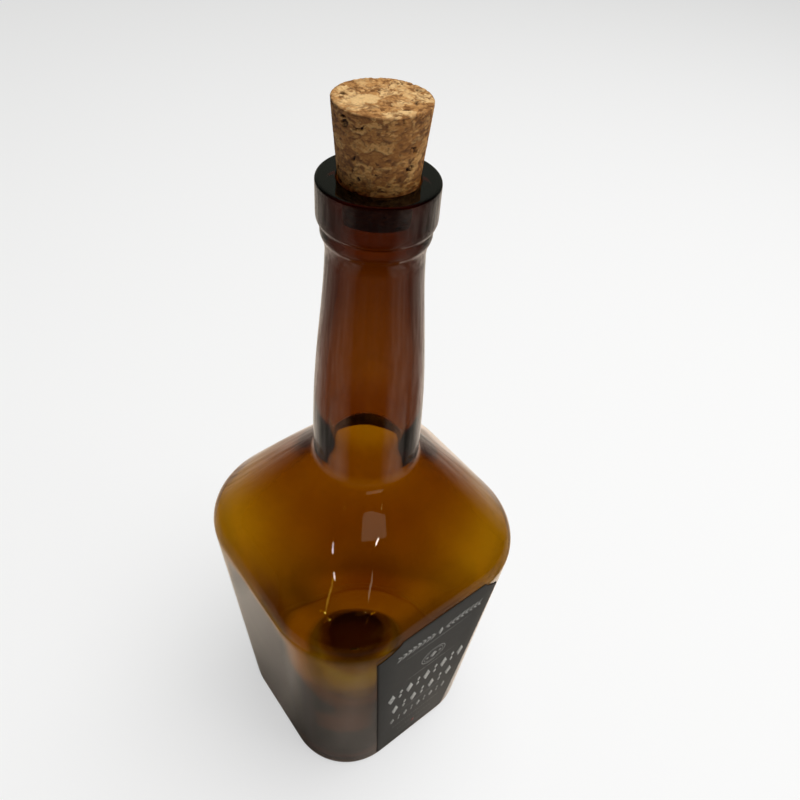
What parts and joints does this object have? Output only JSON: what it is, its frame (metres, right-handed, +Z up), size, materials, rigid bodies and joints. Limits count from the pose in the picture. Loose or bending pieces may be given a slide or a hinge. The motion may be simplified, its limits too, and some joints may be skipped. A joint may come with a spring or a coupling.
{
  "type": "corked glass bottle",
  "caption": "Tall amber glass bottle with a tapered square body, sloping shoulders, a long neck with a beaded lip, a tapered cork that pulls out, and a dark paper label.",
  "frame": {"origin": "centre of the base, on the plane that the bottle stands on", "axes": "+Z up along the bottle's axis, -Y out of the face that carries the label"},
  "size_m": [0.0874, 0.0876, 0.2452],
  "materials": {
    "amber_glass": "glossy, moulded, tinted brown",
    "cork": "matte agglomerated cork with dark pits",
    "label_paper": "matte charcoal paper with pale print"
  },
  "bodies": {
    "glass": {"bottle": "amber_glass", "front_label": "label_paper"},
    "cork": {"cork_stopper": "cork"}
  },
  "joints": [
    {"name": "cork_pull", "type": "slide", "parent": "glass", "child": "cork", "axis": [0, 0, 1], "range_m": [0, 0.03]}
  ]
}
